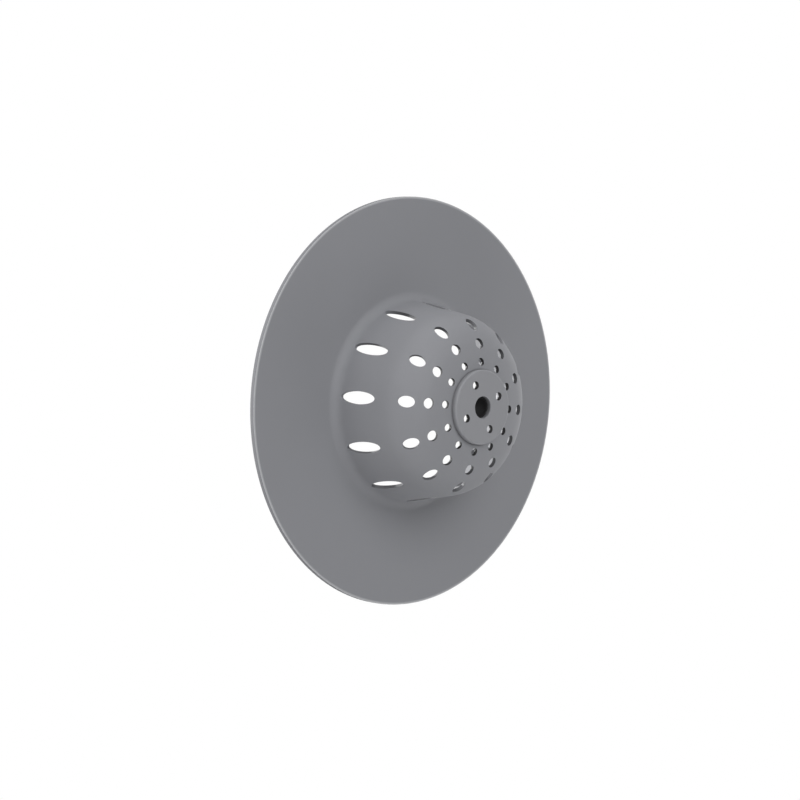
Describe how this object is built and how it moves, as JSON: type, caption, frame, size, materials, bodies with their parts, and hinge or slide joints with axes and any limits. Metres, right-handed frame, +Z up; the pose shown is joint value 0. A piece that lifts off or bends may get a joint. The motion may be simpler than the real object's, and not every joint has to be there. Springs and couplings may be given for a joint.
{
  "type": "sink strainer",
  "caption": "Round sink strainer: a wide flat rim carries a perforated dome basket that catches scraps, closed by a drained foot cap with a small lift knob inside.",
  "frame": {"origin": "centre of the foot cap's flat face, the lowest face of the part", "axes": "+Z up along the basket's axis, from the foot to the rim, as the strainer sits in a sink; +X through the middle of one column of holes"},
  "size_m": [0.114, 0.114, 0.0301],
  "materials": {
    "body_grey": "matte soft moulded elastomer with a fine even texture",
    "cap_grey": "matte moulded plastic, a shade lighter than the basket",
    "knob_grey": "matte moulded plastic"
  },
  "bodies": {
    "strainer": {"strainer_body": "body_grey", "foot_cap": "cap_grey"},
    "knob": {"lift_knob": "knob_grey"}
  },
  "joints": [
    {"name": "knob_turn", "type": "hinge", "parent": "strainer", "child": "knob", "pos_m": [0, 0, 0.002], "axis": [0, 0, 1], "continuous": true}
  ]
}
